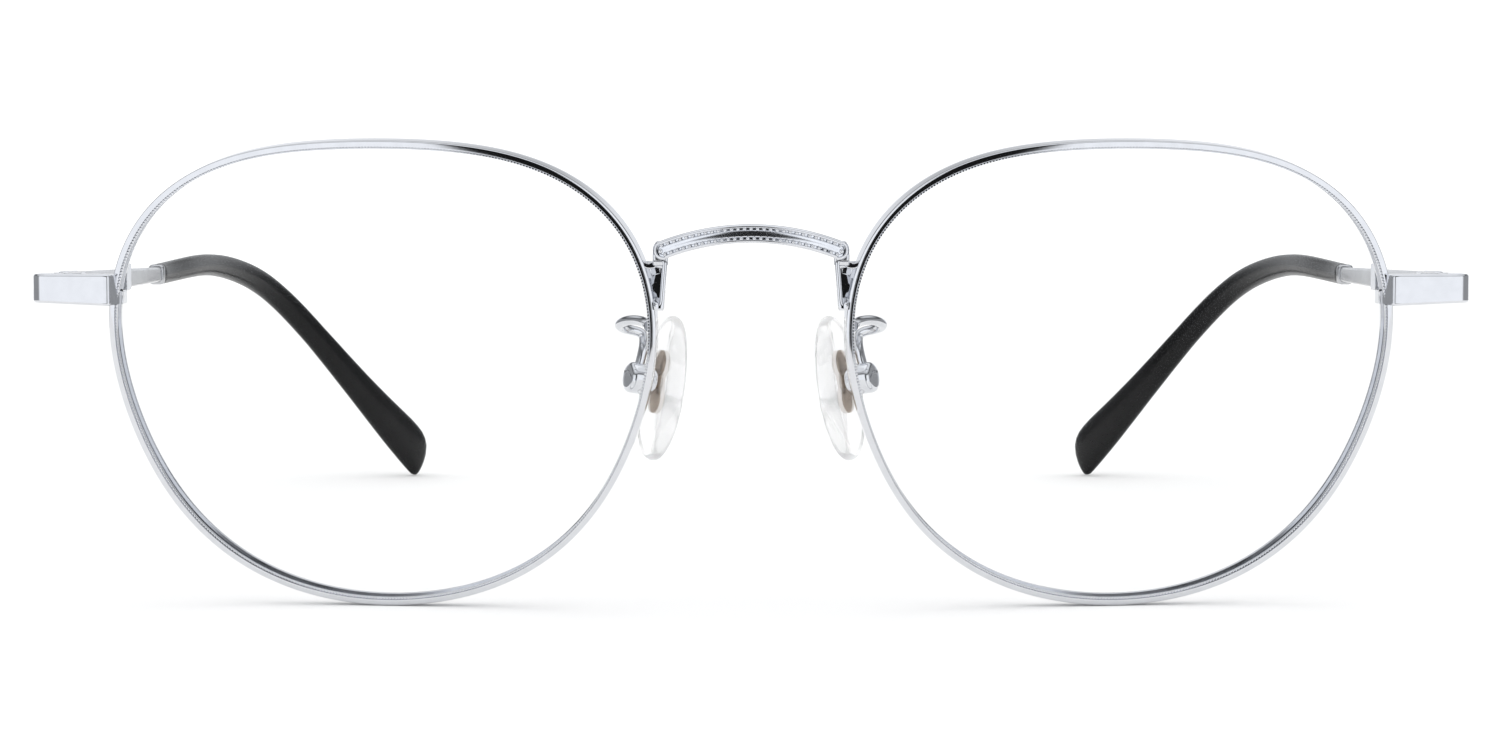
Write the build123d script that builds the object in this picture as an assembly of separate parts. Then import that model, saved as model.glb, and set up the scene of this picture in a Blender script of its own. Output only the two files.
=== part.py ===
from build123d import *
from math import cos, pi, radians, sin
import os

# Round wire eyeglasses, in mm. The wearer looks along -Y, so the front faces -Y, +Z is up and
# +X is the wearer's left. Everything is built for the wearer's left and mirrored for the right.
# While building, y = 0 is the front apex of the lens curve; the finished set is then shifted so
# that the origin is the bottom centre of its bounding box.

# Front: two rims on a curved, wrapped and tilted lens surface
LENS_CENTER_X = 35.5
LENS_CENTER_Z = 22.96
WRAP = 6.0
PANTO = 8.0
BASE_RADIUS = 130.0
RIM_WIDTH = 0.78
RIM_DEPTH = 2.2
LENS_FRONT = 0.5
LENS_THICKNESS = 1.2
GROOVE_DEPTH = 0.34
OUTLINE_POINTS = 36
CUTTER = 12.0

# Bridge bar and its feet
BRIDGE_END_X = 8.25
BRIDGE_END_Z = 34.5
BRIDGE_MID_Z = 36.05
BRIDGE_HEIGHT = 1.75
BRIDGE_END_RADIUS = 1.0
BRIDGE_DEPTH = 1.3
BRIDGE_FRONT = -2.7
BRIDGE_RECESS = 0.12
BRIDGE_BORDER = 0.32
BRIDGE_BOW_RADIUS = 34.0
FOOT_FRONT = -1.5
FOOT_BACK = 1.1
FOOT_HOLLOW_FLOOR = -0.3
FOOT_OUTLINE = [(7.85, 33.4), (11.6, 33.4), (10.6, 31.2), (10.0, 28.8), (8.2, 28.8)]
FOOT_HOLLOW = [(8.25, 33.0), (10.9, 33.0), (9.9, 30.0), (8.6, 29.6)]
FOOT_SEAT_X = (7.7, 9.0)
FOOT_SEAT_Z = (33.35, 34.85)
FOOT_SEAT_BACK = 0.6

# Rim lock: a block on each cut end of the rim, drawn together by a screw
SPLIT_Z = 30.35
SPLIT_GAP = 0.12
LOCK_X = (60.45, 63.2)
LOCK_BACK = 8.6
LOCK_TOP = 32.9
LOCK_SHOULDER = 31.9
LOCK_BOTTOM = 29.1
LOCK_TAIL_BOTTOM = 27.4
LOCK_TAIL_X = (60.8, 61.7)
LOCK_TAIL_Y = (6.2, 7.9)
LOCK_EAR_X = (60.0, 60.8)
LOCK_SCREW_CLEAR = 0.4
LOCK_SCREW_AT = (62.2, 7.3)
LOCK_SCREW_RADIUS = 0.45
LOCK_HEAD_RADIUS = 0.75
LOCK_HEAD_HEIGHT = 0.35

# End piece
END_INNER_X = 61.2
END_OUTER_X = 68.8
END_FRONT_INNER = 3.35
END_FRONT_OUTER = 3.95
END_THICKNESS = 2.1
END_WALL = 1.55
END_BACK = 9.3
END_TOP = 32.02
END_BOTTOM_INNER = 29.0
END_BOTTOM_OUTER = 29.27
END_CORNER = 1.5
END_INNER_CORNER = 0.6
END_ROOT = 0.75

# Hinge
HINGE_X = 65.85
HINGE_Y = 10.6
BARREL_RADIUS = 1.05
HINGE_BOTTOM = 29.3
HINGE_TOP = 32.0
KNUCKLE = 0.8
KNUCKLE_GAP = 0.12
LEAF_CLEARANCE = 1.4
LEAF_FRONT_LENGTH = 1.6
LEAF_TEMPLE_LENGTH = 3.2
LEAF_THICKNESS = 0.8
LEAF_SINK = 0.4
PIN_RADIUS = 0.5
PIN_CLEARANCE = 0.05
PIN_HEAD_RADIUS = 0.75
PIN_HEAD_HEIGHT = 0.35
SCREW_SLOT = 0.22

# Temple and tip
TEMPLE_START = 9.65
TEMPLE_START_Z = 30.62
TEMPLE_START_SIZE = (1.5, 2.65)
TEMPLE_END_SIZE = (1.3, 1.65)
COLLAR_SIZE = (1.9, 2.35)
COLLAR_LENGTH = 0.9
TEMPLE_ROUND = 0.3
COLLAR_ROUND = 0.6
TIP_START_DIRECTION = (0, 1, 0)
TIP_END_DIRECTION = (-0.474, 0.604, -0.642)
CORE_RADIUS = 0.55
CORE_LENGTH = 14.0
TIP_LINE = [
    (69.4, 79.0, 29.35),
    (68.1, 91.0, 29.7),
    (66.7, 103.0, 29.65),
    (64.7, 113.0, 28.45),
    (62.4, 119.5, 26.4),
    (53.4, 131.0, 14.6),
    (44.3, 142.56, 1.88),
]
# thickness, height and drop of the section's middle, at even steps along the tip
TIP_SECTIONS = [
    (2.1, 2.45, 0.0),
    (2.1, 2.5, 0.0),
    (2.1, 2.55, 0.0),
    (2.1, 2.6, 0.0),
    (2.12, 2.7, 0.0),
    (2.15, 2.9, 0.0),
    (2.2, 3.1, 0.0),
    (2.2, 3.2, 0.0),
    (2.2, 3.3, 0.0),
    (2.25, 3.7, 0.0),
    (2.35, 4.4, 0.0),
    (2.45, 5.2, 0.0),
    (1.3, 2.5, 1.19),
]

# Nose pad, on a box at the end of its arm
PAD_SPLAY = 25.0
PAD_LEAN = 10.0
BOX_AT = (10.45, 8.0, 21.72)
BOX_RADIUS = 1.5
BOX_BACK = -1.7
BOX_FRONT = 0.95
BOX_ROUND = 0.45
BOX_LIP_ROUND = 0.2
BOX_SLOT = (1.25, 2.3)
BOX_FLOOR = -1.1
PAD_GAP = 0.25
PAD_DROP = 0.55
PAD_LENGTH = 14.2
PAD_WIDTH = 7.6
PAD_THICKNESS = 2.3
PAD_ROUND = 1.0
TAB_SIZE = (0.7, 1.3)
TAB_END = 0.65
INSERT_LENGTH = 6.2
INSERT_WIDTH = 2.6
INSERT_WAIST = 1.5
INSERT_THICKNESS = 0.5
INSERT_DEPTH = 0.35
PAD_SCREW_RADIUS = 0.32
PAD_HEAD_RADIUS = 0.52
PAD_HEAD_HEIGHT = 0.4
PAD_SCREW_SINK = 0.1
ARM_RADIUS = 0.47
ARM_LINE = [
    (9.55, 1.2, 27.2),
    (10.2, 3.4, 27.5),
    (11.7, 5.2, 27.55),
    (12.65, 6.9, 27.0),
    (11.8, 8.3, 26.5),
    (10.5, 8.8, 25.95),
    (10.4, 8.4, 25.0),
    (10.9, 7.8, 22.7),
]

# Lens axis and the plane square to it
across = Vector(cos(radians(WRAP)), sin(radians(WRAP)), 0)
level_back = Vector(-sin(radians(WRAP)), cos(radians(WRAP)), 0)
lens_back = level_back * cos(radians(PANTO)) + Vector(0, 0, sin(radians(PANTO)))
lens_center = Vector(LENS_CENTER_X, 0, LENS_CENTER_Z)
lens_plane = Plane(lens_center, x_dir=across, z_dir=-lens_back)
curve_center = lens_center + lens_back * BASE_RADIUS


def outline_radius(angle):
    """Radius of the rim's centre line; a rounded panto shape, a little wider above its middle."""
    return (
        24.38
        + 1.84 * cos(2 * angle)
        + 1.05 * sin(3 * angle)
        - 0.40 * cos(4 * angle)
        + 0.17 * sin(5 * angle)
        - 0.07 * cos(6 * angle)
    )


def outline_prism(offset):
    """The outline, grown by offset, as a prism along the lens axis."""
    points = []
    for i in range(OUTLINE_POINTS):
        angle = 2 * pi * i / OUTLINE_POINTS
        radius = outline_radius(angle) + offset
        points.append((radius * cos(angle), radius * sin(angle)))
    face = lens_plane * make_face(Spline(*points, periodic=True))
    return extrude(face, CUTTER, dir=lens_back, both=True)


def curved_slab(front, back):
    """The space between two depths behind the front of the lens curve."""
    ball = Plane(curve_center, x_dir=lens_back, z_dir=lens_plane.y_dir)
    return ball * Sphere(BASE_RADIUS - front) - ball * Sphere(BASE_RADIUS - back)


def block(x, y, z):
    """A box between two values on each axis."""
    low, high = Vector(x[0], y[0], z[0]), Vector(x[1], y[1], z[1])
    size = high - low
    return Pos((low + high) / 2) * Box(size.X, size.Y, size.Z)


def facing(y):
    """An upright plane at the given depth, facing the front."""
    return Plane.XZ.offset(-y)


def rod(radius, low, high):
    """An upright cylinder on the Z axis between two heights."""
    return Pos(0, 0, (low + high) / 2) * Cylinder(radius, high - low)


def only(shape):
    """The largest solid, on its own."""
    return max(shape.solids(), key=lambda s: s.volume)


def slotted_head(radius, low, high):
    """A round screw head with a driver slot across its top."""
    head = rod(radius, low, high)
    head = chamfer(head.edges().group_by(Axis.Z)[-1], 0.1)
    slot = Pos(0, 0, high) * Box(3 * radius, SCREW_SLOT, high - low)
    return head - slot


left = {}

# Lens and rim
lens = outline_prism(GROOVE_DEPTH - RIM_WIDTH / 2)
lens = lens & curved_slab(LENS_FRONT, LENS_FRONT + LENS_THICKNESS)
ring = outline_prism(RIM_WIDTH / 2) - outline_prism(-RIM_WIDTH / 2)
ring = ring & curved_slab(0, RIM_DEPTH)
split = block(
    (LOCK_X[0] - 2, LOCK_X[1]),
    (END_FRONT_INNER, LOCK_BACK),
    (SPLIT_Z - SPLIT_GAP / 2, SPLIT_Z + SPLIT_GAP / 2),
)
left["lens"] = lens
left["rim"] = ring - lens - split

# End piece: a bar leaving the rim outwards, turned back at its corner to meet the temple
plan = Polyline(
    (END_INNER_X, END_FRONT_INNER),
    (END_OUTER_X, END_FRONT_OUTER),
    (END_OUTER_X, END_BACK),
    (END_OUTER_X - END_WALL, END_BACK),
    (END_OUTER_X - END_WALL, END_FRONT_OUTER + END_THICKNESS),
    (END_INNER_X, END_FRONT_INNER + END_THICKNESS),
    (LOCK_X[0], END_FRONT_INNER + END_ROOT * END_THICKNESS),
    close=True,
)
bar = Pos(0, 0, END_BOTTOM_INNER) * extrude(make_face(plan), END_TOP - END_BOTTOM_INNER)
outer_corner = (END_OUTER_X, END_FRONT_OUTER, SPLIT_Z)
inner_corner = (END_OUTER_X - END_WALL, END_FRONT_OUTER + END_THICKNESS, SPLIT_Z)
for corner, radius in ((outer_corner, END_CORNER), (inner_corner, END_INNER_CORNER)):
    edge = bar.edges().filter_by(Axis.Z).sort_by_distance(corner)[0]
    bar = fillet(edge, radius)
under = Plane.XZ * Polyline(
    (LOCK_X[0] - 1, END_BOTTOM_INNER - 1),
    (LOCK_X[0] - 1, END_BOTTOM_INNER),
    (END_INNER_X, END_BOTTOM_INNER),
    (END_OUTER_X - END_CORNER, END_BOTTOM_OUTER),
    (END_OUTER_X + 1, END_BOTTOM_OUTER),
    (END_OUTER_X + 1, END_BOTTOM_INNER - 1),
    close=True,
)
bar = bar - extrude(make_face(under), 2 * CUTTER, both=True)
left["end_piece"] = bar - ring

# Rim lock
lock_at = Pos(*LOCK_SCREW_AT, LOCK_BOTTOM)
lock_screw_top = LOCK_SHOULDER - LOCK_BOTTOM - LOCK_SCREW_CLEAR
lock_head = Rot(180, 0, 0) * slotted_head(LOCK_HEAD_RADIUS, -LOCK_HEAD_HEIGHT, 0)
lock_screw = lock_at * (rod(LOCK_SCREW_RADIUS, LOCK_HEAD_HEIGHT, lock_screw_top) + lock_head)
lock_hole = lock_at * rod(LOCK_HEAD_RADIUS, 0, LOCK_HEAD_HEIGHT) + lock_screw
left["rim_lock_screw"] = lock_screw
solid_front = left["end_piece"] + ring + lens
upper = block(LOCK_X, (END_FRONT_OUTER, LOCK_BACK), (SPLIT_Z + SPLIT_GAP / 2, LOCK_SHOULDER))
upper += block(LOCK_EAR_X, (LOCK_TAIL_Y[0], LOCK_BACK), (SPLIT_Z + SPLIT_GAP / 2, LOCK_TOP))
lower = block(LOCK_X, (END_FRONT_OUTER, LOCK_BACK), (LOCK_BOTTOM, SPLIT_Z - SPLIT_GAP / 2))
tail = block(LOCK_TAIL_X, LOCK_TAIL_Y, (LOCK_TAIL_BOTTOM, LOCK_BOTTOM))
for name, piece in (("upper", upper), ("lower", lower + tail)):
    left["closing_block_" + name] = only(piece - solid_front - lock_hole)


# Bridge: an arched bar with round ends and a sunk face inside a raised border
bridge_arch = ThreePointArc(
    (-BRIDGE_END_X, BRIDGE_END_Z), (0, BRIDGE_MID_Z), (BRIDGE_END_X, BRIDGE_END_Z)
)


def bridge_outline(inset):
    """The arched bar with its round ends, seen from the front, drawn inside by inset."""
    face = SlotArc(bridge_arch, BRIDGE_HEIGHT - 2 * inset)
    for x in (-BRIDGE_END_X, BRIDGE_END_X):
        face = face + Pos(x, BRIDGE_END_Z) * Circle(BRIDGE_END_RADIUS - inset)
    return face


def bowed_slab(front, back):
    """The space between two depths behind the bar's bowed front."""
    outer, inner = BRIDGE_BOW_RADIUS - front, BRIDGE_BOW_RADIUS - back
    shell = rod(outer, 0, 2 * BRIDGE_MID_Z) - rod(inner, 0, 2 * BRIDGE_MID_Z)
    return Pos(0, BRIDGE_FRONT + BRIDGE_BOW_RADIUS, 0) * Rot(0, 0, 90) * shell


bridge = facing(CUTTER) * extrude(bridge_outline(0), 2 * CUTTER)
bridge = only(bridge & bowed_slab(0, BRIDGE_DEPTH))
sunk = facing(CUTTER) * extrude(bridge_outline(BRIDGE_BORDER), 2 * CUTTER)
bridge = bridge - (sunk & bowed_slab(-BRIDGE_RECESS, BRIDGE_RECESS))

# Bridge foot: a web down the rim's nose side, hollowed in front, with a seat behind the bar's end
web = make_face(Polyline(*FOOT_OUTLINE, close=True))
web = facing(FOOT_BACK) * extrude(web, FOOT_BACK - FOOT_FRONT)
hollow = make_face(Polyline(*FOOT_HOLLOW, close=True))
hollow = facing(FOOT_HOLLOW_FLOOR) * extrude(hollow, CUTTER)
seat = block(FOOT_SEAT_X, (FOOT_FRONT, FOOT_SEAT_BACK), FOOT_SEAT_Z)
left["bridge_foot"] = only(web - hollow + seat - outline_prism(RIM_WIDTH / 2) - bridge)

# Hinge: two front knuckles, one temple knuckle between them, and a slotted screw
hinge = Pos(HINGE_X, HINGE_Y, 0)
wall_x = END_OUTER_X - END_WALL
middle = (HINGE_BOTTOM + KNUCKLE + KNUCKLE_GAP, HINGE_TOP - KNUCKLE - KNUCKLE_GAP)
outer_levels = ((HINGE_BOTTOM, HINGE_BOTTOM + KNUCKLE), (HINGE_TOP - KNUCKLE, HINGE_TOP))
full = (HINGE_BOTTOM, HINGE_TOP)
barrel_x = (HINGE_X - BARREL_RADIUS, HINGE_X + BARREL_RADIUS)
front_face = HINGE_Y - LEAF_CLEARANCE
leaf_x = (wall_x - LEAF_THICKNESS, wall_x)
front_leaf = block((barrel_x[0], wall_x), (front_face - LEAF_THICKNESS, front_face), full)
front_leaf += block(leaf_x, (front_face - LEAF_FRONT_LENGTH, front_face), full)
for level in outer_levels:
    front_leaf += hinge * rod(BARREL_RADIUS, *level) + block(barrel_x, (front_face, HINGE_Y), level)
screw = hinge * (
    rod(PIN_RADIUS, HINGE_BOTTOM, HINGE_TOP - PIN_HEAD_HEIGHT)
    + slotted_head(PIN_HEAD_RADIUS, HINGE_TOP - PIN_HEAD_HEIGHT, HINGE_TOP)
)
temple_face = HINGE_Y + LEAF_CLEARANCE
temple_leaf = hinge * rod(BARREL_RADIUS, *middle)
temple_leaf += block((barrel_x[0], wall_x), (HINGE_Y, temple_face + LEAF_THICKNESS), middle)
leaf_x = (leaf_x[0], wall_x + LEAF_SINK)
temple_leaf += block(leaf_x, (temple_face, temple_face + LEAF_TEMPLE_LENGTH), full)
head_space = hinge * rod(PIN_HEAD_RADIUS, HINGE_TOP - PIN_HEAD_HEIGHT, HINGE_TOP)
left["hinge_front_leaf"] = front_leaf - screw - head_space
left["hinge_temple_leaf"] = temple_leaf - hinge * rod(PIN_RADIUS + PIN_CLEARANCE, *full)
left["hinge_screw"] = screw

# Temple: a flat bar tapering back to a collar, and a core wire inside the tip
start_at = (wall_x + TEMPLE_START_SIZE[0] / 2, TEMPLE_START, TEMPLE_START_Z)
bar_start = Plane(start_at, x_dir=(1, 0, 0), z_dir=(0, 1, 0))
bar_end = Plane(TIP_LINE[0], x_dir=(1, 0, 0), z_dir=(0, 1, 0))
temple = loft(
    [
        bar_start * RectangleRounded(*TEMPLE_START_SIZE, TEMPLE_ROUND),
        bar_end * RectangleRounded(*TEMPLE_END_SIZE, TEMPLE_ROUND),
    ]
)
collar = Plane(bar_end.origin - (0, COLLAR_LENGTH, 0), x_dir=(1, 0, 0), z_dir=(0, 1, 0))
temple += extrude(collar * RectangleRounded(*COLLAR_SIZE, COLLAR_ROUND), COLLAR_LENGTH)
tip_line = Spline(*TIP_LINE, tangents=[TIP_START_DIRECTION, TIP_END_DIRECTION])
core_axis = Plane(TIP_LINE[0], z_dir=Vector(TIP_LINE[1]) - Vector(TIP_LINE[0]))
core = core_axis * rod(CORE_RADIUS, -COLLAR_LENGTH / 2, CORE_LENGTH)
sections = []
for i, (thickness, height, drop) in enumerate(TIP_SECTIONS):
    share = i / (len(TIP_SECTIONS) - 1)
    along = tip_line % share
    level = Vector(along.Y, -along.X, 0)
    section = Plane(tip_line @ share, x_dir=level, z_dir=along)
    sections.append(section * Pos(0, drop) * Ellipse(thickness / 2, height / 2))
tip = loft(sections)
left["temple"] = temple + core
left["temple_tip"] = tip - core
left["hinge_temple_leaf"] -= temple

# Nose pad frame: z along the pad's face normal, towards the nose; y up the pad; x across it
splay, lean = radians(PAD_SPLAY), radians(PAD_LEAN)
inward = Vector(-cos(splay), sin(splay), 0)
pad_normal = inward * cos(lean) - Vector(0, 0, sin(lean))
pad_up = inward * sin(lean) + Vector(0, 0, cos(lean))
pad_frame = Plane(BOX_AT, x_dir=pad_up.cross(pad_normal), z_dir=pad_normal)
across_pad = Rot(0, 90, 0)

screw_end = BOX_RADIUS - PAD_SCREW_SINK
head_seat = screw_end - PAD_HEAD_HEIGHT
pad_screw = rod(PAD_SCREW_RADIUS, -screw_end, screw_end)
pad_screw = across_pad * (pad_screw + slotted_head(PAD_HEAD_RADIUS, head_seat, screw_end))
box_hull = rod(BOX_RADIUS, BOX_BACK, BOX_FRONT)
box = fillet(box_hull.edges().group_by(Axis.Z)[0], BOX_ROUND)
box = fillet(box.edges().group_by(Axis.Z)[-1], BOX_LIP_ROUND)
slot_x, slot_y = BOX_SLOT
box -= block((-slot_x / 2, slot_x / 2), (-slot_y / 2, slot_y / 2), (BOX_FLOOR, 2 * BOX_FRONT))
box -= across_pad * rod(PAD_HEAD_RADIUS, head_seat, BOX_RADIUS) + pad_screw

pad_back = BOX_FRONT + PAD_GAP
pad = Pos(0, -PAD_DROP, pad_back) * extrude(Ellipse(PAD_WIDTH / 2, PAD_LENGTH / 2), PAD_THICKNESS)
pad = fillet(pad.edges().group_by(Axis.Z)[-1], PAD_ROUND)
pad = fillet(pad.edges().group_by(Axis.Z)[0], PAD_ROUND)
insert_z = pad_back + INSERT_DEPTH
lobe = Circle(INSERT_WIDTH / 2)
reach = (INSERT_LENGTH - INSERT_WIDTH) / 2
plate = Pos(0, reach) * lobe + Pos(0, -reach) * lobe + Rectangle(INSERT_WAIST, 2 * reach)
insert = Pos(0, 0, insert_z) * extrude(plate, INSERT_THICKNESS)
tab_x, tab_y = TAB_SIZE
tab_top = insert_z + INSERT_THICKNESS / 2
insert += block((-tab_x / 2, tab_x / 2), (-tab_y / 2, tab_y / 2), (0, tab_top))
insert += across_pad * rod(TAB_END, -TAB_SIZE[0] / 2, TAB_SIZE[0] / 2)
insert -= across_pad * rod(PAD_SCREW_RADIUS + PIN_CLEARANCE, -TAB_SIZE[0], TAB_SIZE[0])
left["pad_box"] = pad_frame * box
left["pad_screw"] = pad_frame * pad_screw
left["nose_pad"] = pad_frame * (pad - insert)
left["pad_insert"] = pad_frame * insert

# Pad arm: a bent wire from the back of the rim to the top of the box
arm_line = Spline(*ARM_LINE)
arm = sweep(Plane(arm_line @ 0, z_dir=arm_line % 0) * Circle(ARM_RADIUS), path=arm_line)
left["pad_arm"] = only(arm - ring - lens - pad_frame * box_hull)

# Both sides, then the whole set on its origin
parts = {"bridge": bridge}
for name, piece in left.items():
    parts["left_" + name] = piece
    parts["right_" + name] = mirror(piece, about=Plane.YZ)
whole = Compound(children=[Compound(piece.solids()) for piece in parts.values()])
bounds = whole.bounding_box()
shift = Pos(0, -(bounds.min.Y + bounds.max.Y) / 2, -bounds.min.Z)

os.makedirs("parts", exist_ok=True)
for name, piece in parts.items():
    export_step(shift * piece, "parts/" + name + ".step")
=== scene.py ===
"""Round wire eyeglasses in Blender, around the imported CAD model.

Lengths are in mm in the builders below, measured as in the part's own source: x from the middle,
y back from the front apex of the lens curve, z up from the surface the glasses stand on. Every piece
is built for the wearer's left (+X) and mirrored for the right. put() turns that into the row frame.
"""

from math import cos, pi, radians, sin, sqrt

import bmesh
import bpy
import numpy as np
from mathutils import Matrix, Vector


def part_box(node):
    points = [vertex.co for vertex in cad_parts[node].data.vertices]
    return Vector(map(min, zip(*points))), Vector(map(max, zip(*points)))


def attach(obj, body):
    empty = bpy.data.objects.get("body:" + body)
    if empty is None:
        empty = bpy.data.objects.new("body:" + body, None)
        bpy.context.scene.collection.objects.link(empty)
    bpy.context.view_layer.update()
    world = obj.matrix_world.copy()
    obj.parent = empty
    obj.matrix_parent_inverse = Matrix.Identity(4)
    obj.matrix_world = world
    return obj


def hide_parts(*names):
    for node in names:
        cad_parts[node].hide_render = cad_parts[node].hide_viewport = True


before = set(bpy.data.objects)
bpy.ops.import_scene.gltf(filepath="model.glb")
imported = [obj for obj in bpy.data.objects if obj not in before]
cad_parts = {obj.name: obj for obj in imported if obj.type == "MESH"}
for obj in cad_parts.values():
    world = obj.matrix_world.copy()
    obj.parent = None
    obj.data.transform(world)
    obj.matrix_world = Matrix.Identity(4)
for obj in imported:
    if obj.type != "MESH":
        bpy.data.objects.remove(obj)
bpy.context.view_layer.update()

MM = 0.001
TURN = 2 * pi
SIDES = {"left": 1, "right": -1}

# Driving dimensions, as in the part's source
LENS_CENTER = (35.5, 0.0, 22.96)
WRAP = 6.0
PANTO = 8.0
BASE_RADIUS = 130.0
RIM_HALF = 0.39
LENS_DEPTHS = (0.5, 1.7)
LENS_EDGE = -0.05
SPLIT_Z = 30.35
SPLIT_GAP = 0.12
BRIDGE_END = (8.25, 34.5)
BRIDGE_MID_Z = 36.05
BRIDGE_HALF = 0.875
BRIDGE_END_RADIUS = 1.0
BRIDGE_FRONT = -2.7
BRIDGE_BACK = -1.4
BRIDGE_BOW = 34.0
TEMPLE_START = 9.65
TIP_LINE = [
    (69.4, 79.0, 29.35),
    (68.1, 91.0, 29.7),
    (66.7, 103.0, 29.65),
    (64.7, 113.0, 28.45),
    (62.4, 119.5, 26.4),
    (53.4, 131.0, 14.6),
    (44.3, 142.56, 1.88),
]
TIP_END_DIRECTION = (-0.474, 0.604, -0.642)
ARM_LINE = [
    (9.55, 1.2, 27.2),
    (10.2, 3.4, 27.5),
    (11.7, 5.2, 27.55),
    (12.65, 6.9, 27.0),
    (11.8, 8.3, 26.5),
    (10.5, 8.8, 25.95),
    (10.4, 8.4, 25.0),
    (10.9, 7.8, 22.7),
]
ARM_RADIUS = 0.47
PAD_SPLAY = 25.0
PAD_LEAN = 10.0
BOX_AT = (10.45, 8.0, 21.72)
BOX_RADIUS = 1.5
BOX_BACK = -1.7
BOX_FRONT = 0.95
PAD_BACK = 1.2
PAD_DROP = 0.55
PAD_HALF = (3.8, 7.1)
PAD_THICKNESS = 2.3

# The row frame's y, in metres, of the builders' y = 0
ROW_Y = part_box("bridge")[0].y - BRIDGE_FRONT * MM


# ---------------------------------------------------------------- mesh helpers


def strips(rings, closed_path=False, caps=True):
    """Quads between closed rings of points, with a flat fan at each open end."""
    points = np.array(rings, float)
    count, size, _ = points.shape
    faces = []
    for i in range(count if closed_path else count - 1):
        a, b = i * size, ((i + 1) % count) * size
        for j in range(size):
            k = (j + 1) % size
            faces.append((a + j, a + k, b + k, b + j))
    if caps and not closed_path:
        faces.append(tuple(range(size))[::-1])
        faces.append(tuple(range((count - 1) * size, count * size)))
    return points.reshape(-1, 3), faces


def joined(*meshes):
    """Several (points, faces) meshes as one."""
    points, faces, start = [], [], 0
    for some, polygons in meshes:
        points.append(np.asarray(some, float))
        faces += [tuple(i + start for i in polygon) for polygon in polygons]
        start += len(some)
    return np.vstack(points), faces


def beads(centers, radii, detail=2):
    """A small ball at each centre."""
    ball = bmesh.new()
    bmesh.ops.create_icosphere(ball, subdivisions=detail, radius=1.0)
    unit = np.array([v.co for v in ball.verts])
    polygons = [tuple(v.index for v in f.verts) for f in ball.faces]
    ball.free()
    return joined(*((unit * radius + center, polygons) for center, radius in zip(centers, radii)))


def superellipse(half_x, half_y, power, count=48):
    """A closed loop between an ellipse (power 2) and a rectangle."""
    loop = []
    for i in range(count):
        c, s = cos(TURN * i / count), sin(TURN * i / count)
        x = half_x * abs(c) ** (2 / power) * (1 if c >= 0 else -1)
        y = half_y * abs(s) ** (2 / power) * (1 if s >= 0 else -1)
        loop.append((x, y))
    return loop


def rounded(half_x, half_y, radius, steps=5):
    """A closed rectangular loop with round corners."""
    loop = []
    for quarter, (sx, sy) in enumerate(((1, 1), (-1, 1), (-1, -1), (1, -1))):
        for i in range(steps + 1):
            turn = (quarter + i / steps) * pi / 2
            x = sx * (half_x - radius) + radius * cos(turn)
            y = sy * (half_y - radius) + radius * sin(turn)
            loop.append((x, y))
    return loop


def spline(points, first, last):
    """A smooth curve through points that leaves along first and arrives along last, as a function of 0..1."""
    knots = np.array(points, float)
    chords = np.linalg.norm(np.diff(knots, axis=0), axis=1)
    times = np.concatenate([[0], np.cumsum(chords)])
    count = len(knots)
    rows, sides = np.zeros((count, count)), np.zeros((count, 3))
    rows[0, 0] = rows[-1, -1] = 1
    sides[0] = np.array(first) / np.linalg.norm(first)
    sides[-1] = np.array(last) / np.linalg.norm(last)
    for i in range(1, count - 1):
        before, after = chords[i - 1], chords[i]
        rows[i, i - 1 : i + 2] = after, 2 * (before + after), before
        rise = after * (knots[i] - knots[i - 1]) / before + before * (knots[i + 1] - knots[i]) / after
        sides[i] = 3 * rise
    slopes = np.linalg.solve(rows, sides)

    def at(share):
        time = min(max(share, 0), 1) * times[-1]
        i = min(int(np.searchsorted(times, time, side="right")) - 1, count - 2)
        h = chords[i]
        t = (time - times[i]) / h
        value = (2 * t**3 - 3 * t**2 + 1) * knots[i] + (3 * t**2 - 2 * t**3) * knots[i + 1]
        value += h * ((t**3 - 2 * t**2 + t) * slopes[i] + (t**3 - t**2) * slopes[i + 1])
        along = (6 * t**2 - 6 * t) * (knots[i] - knots[i + 1]) / h
        along += (3 * t**2 - 4 * t + 1) * slopes[i] + (3 * t**2 - 2 * t) * slopes[i + 1]
        return value, along / np.linalg.norm(along)

    return at


def put(name, mesh, side, material, body, nodes=(), sharp=38.0, flats=False):
    """Makes the piece, mirrored for the right, in the row frame, and says what it rides on and replaces."""
    points, faces = mesh
    points = np.array(points, float) * MM
    points[:, 0] *= SIDES.get(side, 1)
    points[:, 1] += ROW_Y
    data = bpy.data.meshes.new(name)
    data.from_pydata(points.tolist(), [], faces)
    data.validate()
    tidy = bmesh.new()
    tidy.from_mesh(data)
    bmesh.ops.recalc_face_normals(tidy, faces=tidy.faces)
    tidy.to_mesh(data)
    tidy.free()
    data.polygons.foreach_set("use_smooth", [True] * len(data.polygons))
    data.set_sharp_from_angle(angle=radians(sharp))
    data.materials.append(material)
    piece = bpy.data.objects.new(name, data)
    bpy.context.scene.collection.objects.link(piece)
    if flats:
        piece.modifiers.new("flats", "WEIGHTED_NORMAL").keep_sharp = True
    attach(piece, body)
    if nodes:
        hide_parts(*nodes)
    return piece


# ---------------------------------------------------------------- materials


def material(name, **sockets):
    """A Principled material with constant sockets; returns it with its nodes, links and shader."""
    made = bpy.data.materials.new(name)
    made.use_nodes = True
    nodes, links = made.node_tree.nodes, made.node_tree.links
    shader = nodes["Principled BSDF"]
    for key, value in sockets.items():
        shader.inputs[key.replace("_", " ")].default_value = value
    return made, nodes, links, shader


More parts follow.
